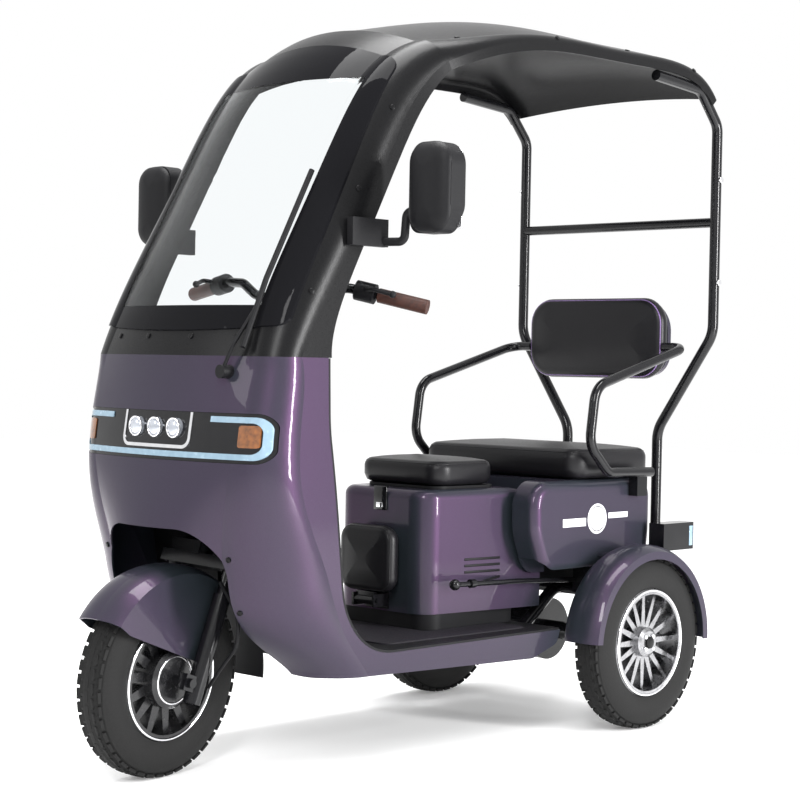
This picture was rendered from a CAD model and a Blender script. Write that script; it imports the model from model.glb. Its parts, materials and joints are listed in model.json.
import bpy
import bmesh
import json
import math
from mathutils import Matrix, Vector


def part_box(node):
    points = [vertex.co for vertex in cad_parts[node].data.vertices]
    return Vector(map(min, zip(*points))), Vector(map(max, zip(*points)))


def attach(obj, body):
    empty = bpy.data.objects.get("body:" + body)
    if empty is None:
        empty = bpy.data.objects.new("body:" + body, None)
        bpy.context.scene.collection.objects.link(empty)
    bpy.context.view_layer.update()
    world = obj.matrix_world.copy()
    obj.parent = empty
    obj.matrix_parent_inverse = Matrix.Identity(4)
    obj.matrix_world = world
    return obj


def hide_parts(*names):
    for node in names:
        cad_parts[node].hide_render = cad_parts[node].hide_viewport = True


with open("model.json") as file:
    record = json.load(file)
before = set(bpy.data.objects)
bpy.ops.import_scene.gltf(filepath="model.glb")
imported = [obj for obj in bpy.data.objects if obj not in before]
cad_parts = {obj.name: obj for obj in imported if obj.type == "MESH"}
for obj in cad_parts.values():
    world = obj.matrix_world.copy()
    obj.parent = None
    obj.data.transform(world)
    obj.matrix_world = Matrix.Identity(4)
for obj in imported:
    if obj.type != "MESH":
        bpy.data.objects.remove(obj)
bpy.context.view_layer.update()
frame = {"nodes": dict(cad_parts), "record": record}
nodes = frame["nodes"]

# The sign of x on each side of the vehicle, and that side's name.
SIDES = ((-1, "right"), (1, "left"))

# Camera: the photograph's view, 800 by 800 pixels.
CAMERA_PLACE = Vector((3.1044, -3.1832, 0.8720))
CAMERA_YAW, CAMERA_PITCH, CAMERA_ROLL = 0.7657, 0.0182, 0.0195
CAMERA_LENS, CAMERA_SENSOR = 85.07, 36.0


def make_camera():
    """The scene's camera from the place, turn and lens above."""
    ahead = Vector((-math.sin(CAMERA_YAW) * math.cos(CAMERA_PITCH),
                    math.cos(CAMERA_YAW) * math.cos(CAMERA_PITCH), -math.sin(CAMERA_PITCH)))
    level = Vector((math.cos(CAMERA_YAW), math.sin(CAMERA_YAW), 0))
    rise = level.cross(ahead)
    right = level * math.cos(CAMERA_ROLL) + rise * math.sin(CAMERA_ROLL)
    up = rise * math.cos(CAMERA_ROLL) - level * math.sin(CAMERA_ROLL)
    data = bpy.data.cameras.new("camera")
    data.lens = CAMERA_LENS
    data.sensor_width = CAMERA_SENSOR
    camera = bpy.data.objects.new("camera", data)
    turn = Matrix((right, up, -ahead)).transposed()
    camera.matrix_world = Matrix.Translation(CAMERA_PLACE) @ turn.to_4x4()
    bpy.context.scene.collection.objects.link(camera)
    bpy.context.scene.camera = camera


make_camera()


# Materials

# Most of a noise texture's values lie between these two.
NOISE_LOW, NOISE_HIGH = 0.3, 0.7


class Shader:
    """One material's node tree with its Principled shader."""

    def __init__(self, name):
        self.material = bpy.data.materials.new(name)
        self.material.use_nodes = True
        self.tree = self.material.node_tree
        self.principled = next(n for n in self.tree.nodes if n.type == "BSDF_PRINCIPLED")
        self.place = None

    def node(self, kind, **values):
        made = self.tree.nodes.new(kind)
        for name, value in values.items():
            setattr(made, name, value)
        return made

    def link(self, source, target):
        self.tree.links.new(source, target)

    def set(self, **values):
        for name, value in values.items():
            self.principled.inputs[name.replace("_", " ")].default_value = value

    def coordinates(self):
        if self.place is None:
            self.place = self.node("ShaderNodeTexCoord").outputs["Object"]
        return self.place

    def noise(self, scale, detail=3.0):
        made = self.node("ShaderNodeTexNoise")
        made.inputs["Scale"].default_value = scale
        made.inputs["Detail"].default_value = detail
        self.link(self.coordinates(), made.inputs["Vector"])
        return made.outputs["Fac"]

    def spread(self, source, low, high):
        """Map a noise to a range of values."""
        made = self.node("ShaderNodeMapRange")
        made.inputs["From Min"].default_value = NOISE_LOW
        made.inputs["From Max"].default_value = NOISE_HIGH
        made.inputs["To Min"].default_value = low
        made.inputs["To Max"].default_value = high
        self.link(source, made.inputs["Value"])
        return made.outputs["Result"]

    def tint(self, source, dark, light):
        """Blend two colours by a noise."""
        made = self.node("ShaderNodeValToRGB")
        made.color_ramp.elements[0].position = NOISE_LOW
        made.color_ramp.elements[0].color = (*dark, 1)
        made.color_ramp.elements[1].position = NOISE_HIGH
        made.color_ramp.elements[1].color = (*light, 1)
        self.link(source, made.inputs["Fac"])
        self.link(made.outputs["Color"], self.principled.inputs["Base Color"])

    def bump(self, source, depth):
        made = self.node("ShaderNodeBump")
        made.inputs["Strength"].default_value = 0.5
        made.inputs["Distance"].default_value = depth
        self.link(source, made.inputs["Height"])
        self.link(made.outputs["Normal"], self.principled.inputs["Normal"])


def coloured(name, dark, light, roughness, grain=60.0, depth=0.0, metallic=0.0, **more):
    """A material whose colour and roughness vary a little with a fine noise."""
    shader = Shader(name)
    grain_map = shader.noise(grain)
    shader.tint(grain_map, dark, light)
    shader.set(Metallic=metallic, **more)
    vary = shader.spread(grain_map, roughness * 0.85, roughness * 1.15)
    shader.link(vary, shader.principled.inputs["Roughness"])
    if depth:
        shader.bump(grain_map, depth)
    return shader.material


def paint():
    """Grey violet metallic under clear coat, with a magenta flake lobe that shows round the highlights."""
    shader = Shader("flip_paint")
    flake = shader.noise(900.0, 2.0)
    shader.tint(flake, (0.013, 0.019, 0.022), (0.020, 0.028, 0.032))
    shader.link(shader.spread(flake, 0.3, 0.4), shader.principled.inputs["Roughness"])
    shader.set(Metallic=0.1, Specular_IOR_Level=0.05, IOR=1.3)
    shader.set(Coat_Weight=0.7, Coat_IOR=1.3, Coat_Roughness=0.02)
    glow = shader.node("ShaderNodeBsdfGlossy")
    glow.inputs["Color"].default_value = (0.84, 0.22, 0.84, 1)
    glow.inputs["Roughness"].default_value = 0.42
    mix = shader.node("ShaderNodeMixShader")
    mix.inputs[0].default_value = 0.027
    shader.link(shader.principled.outputs[0], mix.inputs[1])
    shader.link(glow.outputs[0], mix.inputs[2])
    output = next(n for n in shader.tree.nodes if n.type == "OUTPUT_MATERIAL")
    shader.link(mix.outputs[0], output.inputs["Surface"])
    return shader.material


# The window inside the printed border: half its width, and its lower and upper heights.
WINDOW_HALF, WINDOW_LOW, WINDOW_HIGH = 0.226, 0.99, 1.49


def glass():
    """Clear glass with a black printed border beyond the window's edge lines."""
    shader = Shader("clear_glass")
    haze = shader.noise(3.0)
    shader.tint(haze, (0.90, 0.94, 0.96), (0.95, 0.97, 0.98))
    shader.link(shader.spread(haze, 0.0, 0.02), shader.principled.inputs["Roughness"])
    shader.set(IOR=1.12)
    parts = shader.node("ShaderNodeSeparateXYZ")
    shader.link(shader.coordinates(), parts.inputs[0])
    side = shader.node("ShaderNodeMath", operation="ABSOLUTE")
    shader.link(parts.outputs["X"], side.inputs[0])
    clear = None
    edges = (
        (side.outputs[0], WINDOW_HALF, "LESS_THAN"),
        (parts.outputs["Z"], WINDOW_LOW, "GREATER_THAN"),
        (parts.outputs["Z"], WINDOW_HIGH, "LESS_THAN"),
    )
    for source, limit, test in edges:
        inside = shader.node("ShaderNodeMath", operation=test)
        inside.inputs[1].default_value = limit
        shader.link(source, inside.inputs[0])
        if clear is None:
            clear = inside.outputs[0]
            continue
        both = shader.node("ShaderNodeMath", operation="MULTIPLY")
        shader.link(clear, both.inputs[0])
        shader.link(inside.outputs[0], both.inputs[1])
        clear = both.outputs[0]
    shader.link(clear, shader.principled.inputs["Transmission Weight"])
    tinted = shader.node("ShaderNodeMix", data_type="RGBA")
    tinted.inputs["A"].default_value = (0.006, 0.006, 0.007, 1)
    tinted.inputs["B"].default_value = (0.93, 0.96, 0.97, 1)
    shader.link(clear, tinted.inputs["Factor"])
    shader.link(tinted.outputs["Result"], shader.principled.inputs["Base Color"])
    return shader.material


MATERIALS = {
    "paint": paint(),
    "glass": glass(),
    "satin_black": coloured("satin_black", (0.004, 0.004, 0.0045), (0.006, 0.006, 0.0065), 0.3, 700, 0.0002,
                            Specular_IOR_Level=0.14),
    "matt_black": coloured("matt_black", (0.005, 0.005, 0.006), (0.009, 0.009, 0.010), 0.5, 900, 0.0003,
                           Specular_IOR_Level=0.14),
    "gloss_black": coloured("gloss_black", (0.004, 0.004, 0.005), (0.007, 0.007, 0.008), 0.08, 30,
                            Specular_IOR_Level=0.4),
    "black_steel": coloured("black_steel", (0.004, 0.004, 0.005), (0.007, 0.007, 0.008), 0.16, 300,
                            Specular_IOR_Level=0.3),
    "vinyl": coloured("vinyl", (0.005, 0.005, 0.006), (0.009, 0.0085, 0.010), 0.36, 500, 0.0004,
                      Specular_IOR_Level=0.22),
    "mat": coloured("mat", (0.010, 0.009, 0.012), (0.018, 0.016, 0.021), 0.6, 400, 0.0004,
                    Specular_IOR_Level=0.2),
    "tyre": coloured("tyre", (0.008, 0.008, 0.008), (0.015, 0.015, 0.015), 0.7, 200, 0.0006,
                     Specular_IOR_Level=0.15),
    "alloy": coloured("alloy", (0.26, 0.26, 0.27), (0.36, 0.36, 0.37), 0.28, 80, metallic=1.0),
    "black_alloy": coloured("black_alloy", (0.008, 0.008, 0.009), (0.014, 0.014, 0.015), 0.25, 80,
                            Specular_IOR_Level=0.5),
    "grip": coloured("grip", (0.030, 0.012, 0.009), (0.055, 0.019, 0.013), 0.5, 120, 0.0004,
                     Specular_IOR_Level=0.3),
    "lens": coloured("lens", (0.35, 0.37, 0.42), (0.55, 0.58, 0.63), 0.06, 40, metallic=0.6, Coat_Weight=1.0),
    "light_strip": coloured("light_strip", (0.17, 0.26, 0.33), (0.22, 0.32, 0.40), 0.25, 60, Coat_Weight=0.5),
    "amber": coloured("amber", (0.10, 0.035, 0.008), (0.22, 0.07, 0.012), 0.12, 90, Coat_Weight=1.0),
    "chrome": coloured("chrome", (0.78, 0.78, 0.8), (0.86, 0.86, 0.88), 0.07, 60, metallic=1.0),
    "red_lens": coloured("red_lens", (0.25, 0.01, 0.01), (0.4, 0.02, 0.02), 0.12, 60, Coat_Weight=1.0),
    "mirror": coloured("mirror", (0.85, 0.85, 0.87), (0.9, 0.9, 0.92), 0.02, 30, metallic=1.0),
    "white_print": coloured("white_print", (0.62, 0.62, 0.64), (0.72, 0.72, 0.74), 0.35, 60),
    "dark_print": coloured("dark_print", (0.02, 0.02, 0.03), (0.035, 0.03, 0.045), 0.35, 60),
    "seam": coloured("seam", (0.13, 0.08, 0.2), (0.2, 0.12, 0.3), 0.5, 200),
}
for obj in nodes.values():
    for row in obj.material_slots:
        row.material = MATERIALS.get(row.material.name.split(".")[0], MATERIALS["matt_black"])


# Pieces added to the CAD nodes


def add(name, mesh, material, body, smooth=True):
    """Link a mesh as a piece that rides on a body."""
    mesh.materials.clear()
    mesh.materials.append(MATERIALS[material])
    for face in mesh.polygons:
        face.use_smooth = smooth
    piece = bpy.data.objects.new(name, mesh)
    bpy.context.scene.collection.objects.link(piece)
    if smooth:
        with bpy.context.temp_override(object=piece, selected_editable_objects=[piece]):
            bpy.ops.object.shade_auto_smooth(angle=math.radians(35))
    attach(piece, body)
    return piece


def mesh_of(name, work):
    """A mesh from a bmesh, which is freed."""
    mesh = bpy.data.meshes.new(name)
    work.to_mesh(mesh)
    work.free()
    return mesh


def soften(work, edges, radius):
    """Round edges with two faces each."""
    bmesh.ops.bevel(work, geom=edges, offset=radius, segments=2, profile=0.5, affect="EDGES")


def block(name, centre, size, material, radius=0.002, turn=None):
    """A box on the chassis with softened edges; turn is a rotation matrix."""
    work = bmesh.new()
    bmesh.ops.create_cube(work, size=1.0)
    bmesh.ops.scale(work, vec=size, verts=work.verts)
    soften(work, list(work.edges), radius)
    if turn is not None:
        bmesh.ops.transform(work, matrix=turn.to_4x4(), verts=work.verts)
    bmesh.ops.translate(work, vec=centre, verts=work.verts)
    return add(name, mesh_of(name, work), material, "chassis")


def disc(name, centre, axis, radius, depth, material, body="chassis", sides=28):
    """A short round piece with its middle at a point, along an axis."""
    work = bmesh.new()
    bmesh.ops.create_cone(work, cap_ends=True, segments=sides, radius1=radius, radius2=radius, depth=depth)
    rims = [e for e in work.edges if len(e.link_faces) == 2 and any(len(f.verts) > 4 for f in e.link_faces)]
    soften(work, rims, min(depth, radius) * 0.25)
    turn = Vector(axis).to_track_quat("Z", "Y").to_matrix().to_4x4()
    bmesh.ops.transform(work, matrix=Matrix.Translation(centre) @ turn, verts=work.verts)
    return add(name, mesh_of(name, work), material, body)


def ring(name, centre, axis, radius, thick, material, body="chassis", around=72, across=10, flat=1.0):
    """A torus; flat squeezes it along its axis."""
    work = bmesh.new()
    rows = []
    for i in range(around):
        a = 2 * math.pi * i / around
        row = []
        for j in range(across):
            b = 2 * math.pi * j / across
            reach = radius + thick * math.cos(b)
            row.append(work.verts.new((reach * math.cos(a), reach * math.sin(a), thick * flat * math.sin(b))))
        rows.append(row)
    for i in range(around):
        row, after = rows[i], rows[(i + 1) % around]
        for j in range(across):
            k = (j + 1) % across
            work.faces.new((row[j], after[j], after[k], row[k]))
    turn = Vector(axis).to_track_quat("Z", "Y").to_matrix().to_4x4()
    bmesh.ops.transform(work, matrix=Matrix.Translation(centre) @ turn, verts=work.verts)
    return add(name, mesh_of(name, work), material, body)


def skin(work, loops):
    """Faces between neighbouring loops that have equally many vertices."""
    for before, after in zip(loops, loops[1:]):
        for i in range(len(before)):
            j = (i + 1) % len(before)
            work.faces.new((before[i], before[j], after[j], after[i]))


def rod(name, points, radius, material, body, closed=False, resolution=4):
    """A round bar along points, kept as a curve."""
    curve = bpy.data.curves.new(name, "CURVE")
    curve.dimensions = "3D"
    curve.bevel_depth = radius
    curve.bevel_resolution = resolution
    line = curve.splines.new("POLY")
    line.points.add(len(points) - 1)
    for place, point in zip(points, line.points):
        point.co = (*place, 1)
    line.use_cyclic_u = closed
    curve.materials.append(MATERIALS[material])
    piece = bpy.data.objects.new(name, curve)
    bpy.context.scene.collection.objects.link(piece)
    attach(piece, body)
    return piece


# Round pieces of the wheels are centred on their joints. Each wheel has two ends along its axle.
joints = {joint["name"]: joint for joint in frame["record"]["behaviour"]["joints"]}
WHEELS = ("front_wheel", "rear_wheel_left", "rear_wheel_right")
ENDS = ((-1, "inner"), (1, "outer"))
TREAD_COUNT, TYRE_RADIUS = 44, 0.2085
LIP_RADIUS, LIP_REACH = 0.127, 0.036
DRUM_RADIUS, DRUM_REACH = 0.050, 0.0445
HUB_BOLTS, HUB_RADIUS, HUB_REACH = 4, 0.021, 0.034
CAP_RADIUS, CAP_REACH = 0.0145, 0.036
# Tread rows: place across the tyre, block width, depth under the crown, shift round it in block pitches.
TREAD_ROWS = (
    (-0.027, 0.011, 0.0055, 0.5),
    (-0.013, 0.010, 0.0013, 0.0),
    (0.0, 0.009, 0.0, 0.5),
    (0.013, 0.010, 0.0013, 0.0),
    (0.027, 0.011, 0.0055, 0.5),
)


def tread(body, centre, axis):
    """Raised tread blocks in five rows round a tyre."""
    work = bmesh.new()
    turn = Vector(axis).to_track_quat("X", "Z").to_matrix().to_4x4()
    for i in range(TREAD_COUNT):
        for across, wide, sink, shift in TREAD_ROWS:
            a = 2 * math.pi * (i + shift) / TREAD_COUNT
            made = bmesh.ops.create_cube(work, size=1.0)["verts"]
            bmesh.ops.scale(work, vec=(wide, 0.022, 0.006), verts=made)
            lean = Matrix.Rotation(-across * 14, 4, "Y")
            move = Matrix.Translation((across, 0, TYRE_RADIUS - sink - 0.0012))
            place = Matrix.Rotation(a, 4, "X") @ move @ lean
            bmesh.ops.transform(work, matrix=place, verts=made)
    bmesh.ops.transform(work, matrix=Matrix.Translation(centre) @ turn, verts=work.verts)
    add(body + "_tread", mesh_of(body + "_tread", work), "tyre", body, smooth=False)


for body in WHEELS:
    joint = joints[body + "_spin"]
    centre, axis = Vector(joint["pos_m"]), Vector(joint["axis"]).normalized()
    tread(body, centre, axis)
    for sign, end in ENDS:
        out = axis * sign
        ring(f"{body}_lip_{end}", centre + out * LIP_REACH, axis, LIP_RADIUS, 0.0035, "chrome", body)
        if body == "front_wheel":
            place = centre + out * DRUM_REACH
            ring(f"{body}_drum_ring_{end}", place, axis, DRUM_RADIUS, 0.003, "chrome", body)
    if body == "front_wheel":
        continue
    for sign, end in ENDS:
        out = axis * sign
        for i in range(HUB_BOLTS):
            a = math.pi / 4 + 2 * math.pi * i / HUB_BOLTS
            place = centre + out * HUB_REACH + Vector((0, math.cos(a), math.sin(a))) * HUB_RADIUS
            disc(f"{body}_bolt_{end}_{i}", place, axis, 0.006, 0.008, "chrome", body, sides=12)
        disc(f"{body}_cap_{end}", centre + out * CAP_REACH, axis, CAP_RADIUS, 0.006, "satin_black", body)

# Cushions

CORNER_STEPS = 10


def outline(half_a, half_b, corner, inset):
    """Points round a rounded rectangle moved inwards by an inset."""
    a, b, r = half_a - inset, half_b - inset, max(corner - inset, 0.002)
    points = []
    for turn, (u, v) in enumerate(((a - r, b - r), (-a + r, b - r), (-a + r, -b + r), (a - r, -b + r))):
        for i in range(CORNER_STEPS + 1):
            angle = math.pi / 2 * (turn + i / CORNER_STEPS)
            points.append((u + r * math.cos(angle), v + r * math.sin(angle)))
    return points


def cushion(name, node, body, corner, edge, crown, upright=False, seam="vinyl"):
    """A padded piece in the box of a CAD node: rounded corners, soft edges and a domed face."""
    low, high = (Vector(c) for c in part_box(node))
    size, middle = high - low, (high + low) / 2
    half_a, half_b = size.x / 2, (size.z if upright else size.y) / 2
    thick = (size.y if upright else size.z) - crown
    # Layers from the flat back to the face: inset from the outline, and rise.
    layers = [(edge, 0.0), (edge * 0.3, edge * 0.3), (0.0, edge)]
    for i in range(9):
        angle = math.pi / 2 * i / 8
        layers.append((edge * (1 - math.cos(angle)), thick - edge + edge * math.sin(angle)))
    reach = min(half_a, half_b)
    for i in range(1, 9):
        inset = edge + (reach - edge) * i / 8.5
        layers.append((inset, thick + crown * math.sin(math.pi / 2 * i / 8)))

    def placed(inset, rise):
        """Points of the outline at an inset and a rise above the back."""
        depth = rise - (thick + crown) / 2
        return [
            middle + Vector((u, -depth, v) if upright else (u, v, depth))
            for u, v in outline(half_a, half_b, corner, inset)
        ]

    work = bmesh.new()
    loops = [[work.verts.new(point) for point in placed(inset, rise)] for inset, rise in layers]
    skin(work, loops)
    work.faces.new(loops[0][::-1])
    work.faces.new(loops[-1])
    bmesh.ops.recalc_face_normals(work, faces=work.faces)
    piece = add(name, mesh_of(name, work), "vinyl", body)
    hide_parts(node)
    # The piping follows the edge where the face begins.
    rod(name + "_piping", placed(edge * 0.28, thick - edge * 0.35), 0.0016, seam, body, closed=True)


cushion("saddle_cushion", "driver_seat", "seat_lid", 0.045, 0.020, 0.008)
cushion("bench_pad", "bench_cushion", "chassis", 0.045, 0.024, 0.010)
cushion("back_pad", "backrest_pad", "chassis", 0.068, 0.020, 0.012, upright=True, seam="seam")
cushion("child_pad", "child_seat_pad", "child_seat", 0.036, 0.018, 0.008, upright=True)

# Mirror housings: the middle of each, and the y of its front wall and of the glass behind it.
MIRROR_X, MIRROR_Z = 0.448, 1.240
MIRROR_FRONT, MIRROR_BACK = -0.341, -0.2975


def mirror_dome(side, tag):
    """The domed front of a mirror housing."""
    work = bmesh.new()
    loops = []
    for i in range(10):
        angle = math.pi / 2 * i / 9.3
        inset = 0.056 * (1 - math.cos(angle))
        loops.append([
            work.verts.new((side * MIRROR_X + u, MIRROR_FRONT - 0.026 * math.sin(angle), MIRROR_Z + v))
            for u, v in outline(0.0565, 0.0935, 0.042, inset)
        ])
    skin(work, loops)
    work.faces.new(loops[-1])
    bmesh.ops.recalc_face_normals(work, faces=work.faces)
    add(f"mirror_dome_{tag}", mesh_of("mirror_dome", work), "matt_black", "chassis")


mirror_dome(1, "left")
mirror_dome(-1, "right")

# Trim on the body

LEFT, FRONT, UP = Vector((1, 0, 0)), Vector((0, -1, 0)), Vector((0, 0, 1))


def cast(start, way):
    """Where a ray first meets a shown CAD node other than the glass: place and outward normal."""
    best = None
    for name, obj in nodes.items():
        if obj.hide_render or name == "windshield_glass":
            continue
        hit, place, normal, _ = obj.ray_cast(obj.matrix_world.inverted() @ start, way, distance=3.0)
        if hit:
            place = obj.matrix_world @ place
            if best is None or (place - start).length < (best[0] - start).length:
                best = place, normal
    return best


def bolt(name, start, way):
    """A screw head where a ray meets the surface."""
    hit = cast(start, way)
    if hit:
        disc(name, hit[0] + hit[1] * 0.001, hit[1], 0.006, 0.004, "satin_black", sides=16)


# Screws along the roof's side edges, the windshield frame and the wheel arch, on both sides
for side, tag in SIDES:
    for i, (y, z) in enumerate(((-0.08, 1.600), (0.20, 1.632), (0.50, 1.645), (0.74, 1.625))):
        bolt(f"roof_screw_{tag}_{i}", Vector((side * 0.5, y, z)), -LEFT * side)
    for i, (y, z) in enumerate(((-0.53, 1.02), (-0.40, 1.24), (-0.30, 1.42))):
        bolt(f"pillar_screw_{tag}_{i}", Vector((side * 0.5, y, z)), -LEFT * side)
    for i, (x, z) in enumerate(((0.20, 0.47), (0.205, 0.36))):
        bolt(f"arch_screw_{tag}_{i}", Vector((side * x, -1.0, z)), -FRONT)
    for i, z in enumerate((1.362, 1.10)):
        disc(f"hoop_bolt_{tag}_{i}", Vector((side * 0.333, 0.868, z)), LEFT, 0.008, 0.006, "chrome", sides=16)
for i, x in enumerate((-0.19, -0.07, 0.07, 0.19)):
    bolt(f"frame_screw_{i}", Vector((x, -1.2, 0.925)), -FRONT)

# Projector lamps: a bright ring and a domed lens over each solid lens
LAMP_PITCH, LAMP_HEIGHT = 0.062, 0.7345
for i in range(3):
    x = (i - 1) * LAMP_PITCH
    face = cast(Vector((x, -1.0, LAMP_HEIGHT)), -FRONT)[0].y
    rim = Vector((x, face - 0.001, LAMP_HEIGHT))
    ring(f"projector_ring_{i}", rim, FRONT, 0.0195, 0.0022, "chrome", around=40, across=8)
    work = bmesh.new()
    bmesh.ops.create_uvsphere(work, u_segments=28, v_segments=14, radius=0.0165)
    bmesh.ops.scale(work, vec=(1, 0.35, 1), verts=work.verts)
    bmesh.ops.translate(work, vec=(x, face, LAMP_HEIGHT), verts=work.verts)
    add(f"projector_dome_{i}", mesh_of("dome", work), "lens", "chassis")

# Seat box: louvre slats on both sides, which follow its wall, and the lid's latch in front
LOUVRE_LOW, LOUVRE_PITCH = 0.376, 0.015
LOUVRE_FRONT, LOUVRE_BACK = 0.11, 0.22
for side, tag in SIDES:
    for i in range(4):
        height = LOUVRE_LOW + i * LOUVRE_PITCH
        fore, aft = (
            cast(Vector((side * 0.5, y, height)), -LEFT * side)[0]
            for y in (LOUVRE_FRONT, LOUVRE_BACK)
        )
        turn = Matrix.Rotation(-math.atan2(aft.x - fore.x, aft.y - fore.y), 3, "Z")
        size = (0.003, (aft - fore).length, 0.006)
        block(f"louvre_{tag}_{i}", (fore + aft) / 2, size, "matt_black", radius=0.001, turn=turn)
block("latch_tongue", (0.003, -0.0165, 0.561), (0.042, 0.005, 0.056), "gloss_black")
block("latch_plate", (0.003, -0.020, 0.545), (0.020, 0.004, 0.012), "chrome", radius=0.0012)

# Side panels of the rear body: a blank roundel with a white stripe before and behind it
ROUNDEL = Vector((0.2625, 0.475, 0.508))
# Name, offset from the roundel in y and z, length, height
STRIPES = (
    ("front", -0.088, -0.006, 0.088, 0.020),
    ("rear", 0.083, 0.006, 0.078, 0.014),
)
for side, tag in SIDES:
    centre = Vector((side * ROUNDEL.x, ROUNDEL.y, ROUNDEL.z))
    disc(f"roundel_field_{tag}", centre, LEFT, 0.037, 0.0016, "white_print", sides=48)
    proud = centre + LEFT * side * 0.0004
    ring(f"roundel_ring_{tag}", proud, LEFT, 0.030, 0.0016, "dark_print", around=64, across=8, flat=0.5)
    for name, y, z, length, height in STRIPES:
        place = centre + Vector((0, y, z))
        block(f"stripe_{name}_{tag}", place, (0.0014, length, height), "white_print", radius=0.0006)

# Tail lamps: a red lens behind and a pale one at the side
LENS_HEIGHT = 0.456
for side, tag in SIDES:
    place = (side * 0.300, 0.7935, LENS_HEIGHT)
    block(f"tail_lens_{tag}", place, (0.040, 0.006, 0.056), "red_lens", radius=0.0025)
    place = (side * 0.3228, 0.783, LENS_HEIGHT)
    block(f"tail_side_lens_{tag}", place, (0.003, 0.014, 0.05), "light_strip", radius=0.0012)

# Mirror glass behind each housing
for side, tag in SIDES:
    place = (side * MIRROR_X, MIRROR_BACK, MIRROR_Z)
    block(f"mirror_glass_{tag}", place, (0.098, 0.003, 0.166), "mirror", radius=0.0012)

# Coil springs round a damper, in place of the plain cylinders
SPRING_X, SPRING_Y = 0.2, 0.553
COIL_RADIUS, COIL_BOTTOM, COIL_LENGTH = 0.016, 0.237, 0.075
COIL_TURNS, COIL_STEPS = 6.5, 130
for side, tag in SIDES:
    points = []
    for i in range(COIL_STEPS + 1):
        a = 2 * math.pi * COIL_TURNS * i / COIL_STEPS
        points.append((side * SPRING_X + COIL_RADIUS * math.cos(a), SPRING_Y + COIL_RADIUS * math.sin(a),
                       COIL_BOTTOM + COIL_LENGTH * i / COIL_STEPS))
    coil = rod(f"coil_{tag}", points, 0.0038, "black_steel", "chassis", resolution=3)
    middle = (side * SPRING_X, SPRING_Y, COIL_BOTTOM + COIL_LENGTH / 2)
    disc(f"damper_{tag}", middle, UP, 0.0095, 0.082, "chrome", sides=24)
    if tag == "left":
        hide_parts("rear_springs")

# Floor, lamps and world


def stage_floor():
    """A plain pale floor."""
    mesh = bpy.data.meshes.new("floor")
    half = 14.0
    corners = [(-half, -half, 0), (half, -half, 0), (half, half, 0), (-half, half, 0)]
    mesh.from_pydata(corners, [], [(0, 1, 2, 3)])
    floor = bpy.data.objects.new("floor", mesh)
    bpy.context.scene.collection.objects.link(floor)
    shader = Shader("pale_floor")
    shader.tint(shader.noise(4.0), (0.93, 0.93, 0.93), (0.96, 0.96, 0.96))
    shader.set(Roughness=0.9, Emission_Color=(1, 1, 1, 1), Emission_Strength=0.17)
    mesh.materials.append(shader.material)


def softbox(name, place, aim, width, height, power):
    """A rectangular lamp at a place, turned towards an aim."""
    data = bpy.data.lights.new(name, "AREA")
    data.shape = "RECTANGLE"
    data.size = width
    data.size_y = height
    data.energy = power
    light = bpy.data.objects.new(name, data)
    turn = (Vector(aim) - Vector(place)).to_track_quat("-Z", "Y").to_matrix().to_4x4()
    light.matrix_world = Matrix.Translation(place) @ turn
    bpy.context.scene.collection.objects.link(light)


def make_world():
    """Even ambient light, and white where camera, glossy and transmission rays see the world."""
    world = bpy.data.worlds.new("studio")
    world.use_nodes = True
    tree = world.node_tree
    output = next(n for n in tree.nodes if n.type == "OUTPUT_WORLD")
    ambient = next(n for n in tree.nodes if n.type == "BACKGROUND")
    ambient.inputs["Color"].default_value = (1, 1, 1, 1)
    ambient.inputs["Strength"].default_value = 0.95
    shown = tree.nodes.new("ShaderNodeBackground")
    shown.inputs["Color"].default_value = (1, 1, 1, 1)
    shown.inputs["Strength"].default_value = 1.0
    path = tree.nodes.new("ShaderNodeLightPath")
    seen = path.outputs["Is Camera Ray"]
    for name in ("Is Glossy Ray", "Is Transmission Ray"):
        either = tree.nodes.new("ShaderNodeMath")
        either.operation = "MAXIMUM"
        tree.links.new(seen, either.inputs[0])
        tree.links.new(path.outputs[name], either.inputs[1])
        seen = either.outputs[0]
    mix = tree.nodes.new("ShaderNodeMixShader")
    tree.links.new(seen, mix.inputs[0])
    tree.links.new(ambient.outputs[0], mix.inputs[1])
    tree.links.new(shown.outputs[0], mix.inputs[2])
    tree.links.new(mix.outputs[0], output.inputs["Surface"])
    bpy.context.scene.world = world


stage_floor()
softbox("key", (2.6, -3.4, 3.2), (0, 0, 0.7), 0.6, 2.0, 110)
softbox("side", (3.9, 1.1, 1.25), (0, -0.2, 0.7), 0.45, 2.1, 230)
softbox("front", (-1.6, -4.0, 2.6), (0, 0, 0.7), 1.0, 1.6, 25)
softbox("top", (0, 0, 4.2), (0, 0, 0.5), 2.4, 2.4, 250)
make_world()

scene = bpy.context.scene
scene.view_settings.view_transform = "Standard"
